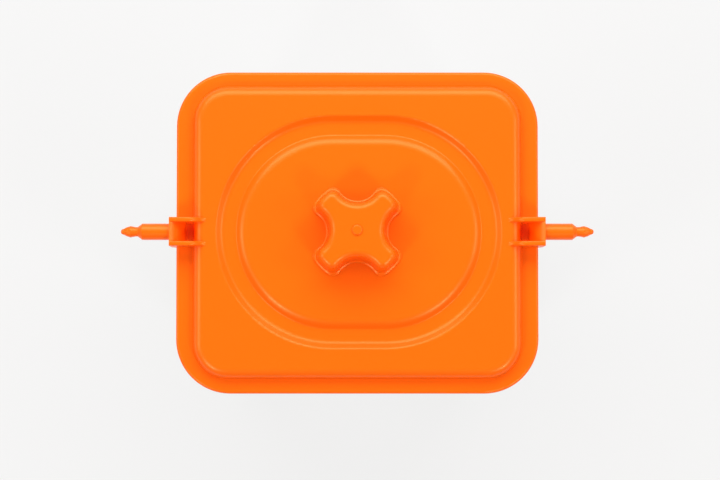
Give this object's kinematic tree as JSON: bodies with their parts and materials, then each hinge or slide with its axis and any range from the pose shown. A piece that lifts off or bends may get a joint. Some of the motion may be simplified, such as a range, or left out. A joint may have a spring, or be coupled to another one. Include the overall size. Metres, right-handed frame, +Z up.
{
  "type": "resin wash station",
  "caption": "Hand-turned resin wash station: rounded tub, lid with a four-lobed knob and barbed side pins, and a slotted basket spun on a turntable.",
  "frame": {"origin": "on the ground under the middle of the lid, midway between the two side pins", "axes": "+X along the side pins, +Y to the rear long side, +Z up along the drive shaft"},
  "size_m": [0.2596, 0.1778, 0.1795],
  "materials": {
    "orange_plastic": "satin moulded, orange",
    "tub_plastic": "milky polypropylene",
    "grey_plastic": "fine spark-eroded texture, dark grey",
    "acetal": "machined, off-white",
    "steel": "turned",
    "brass": "machined",
    "silicone": "soft, pale grey",
    "black_rubber": "moulded, black"
  },
  "bodies": {
    "tub": {"wash_tub": "tub_plastic", "tub_feet": "black_rubber", "pivot_pin": "steel", "pivot_washer": "steel"},
    "lid": {"lid_shell": "orange_plastic", "lid_gasket": "silicone", "shaft_bush": "acetal", "bush_nut": "brass", "shaft_seal": "black_rubber"},
    "drive": {"hand_knob": "orange_plastic", "knob_cap": "orange_plastic", "knob_screw": "steel", "thrust_washer": "acetal", "drive_shaft": "steel", "shaft_washer": "steel", "retaining_clip": "steel", "cross_pin": "steel"},
    "turntable": {"turntable": "grey_plastic", "pivot_bush": "acetal"},
    "basket": {"basket": "grey_plastic", "basket_floor": "grey_plastic", "drive_bridge": "grey_plastic", "bridge_screws": "steel"}
  },
  "joints": [
    {"name": "lid_lift", "type": "slide", "parent": "tub", "child": "lid", "axis": [0, 0, 1], "range_m": [0, 0.26]},
    {"name": "knob_spin", "type": "hinge", "parent": "lid", "child": "drive", "pos_m": [0, 0, 0.165], "axis": [0, 0, 1], "continuous": true},
    {"name": "basket_spin", "type": "hinge", "parent": "tub", "child": "turntable", "pos_m": [0, 0, 0.02], "axis": [0, 0, 1], "continuous": true},
    {"name": "basket_lift", "type": "slide", "parent": "turntable", "child": "basket", "axis": [0, 0, 1], "range_m": [0, 0.13]}
  ],
  "couplings": [
    {"joint": "knob_spin", "follows": "basket_spin", "ratio": 1},
    {"joint": "basket_lift", "follows": "lid_lift", "ratio": 0.5}
  ]
}
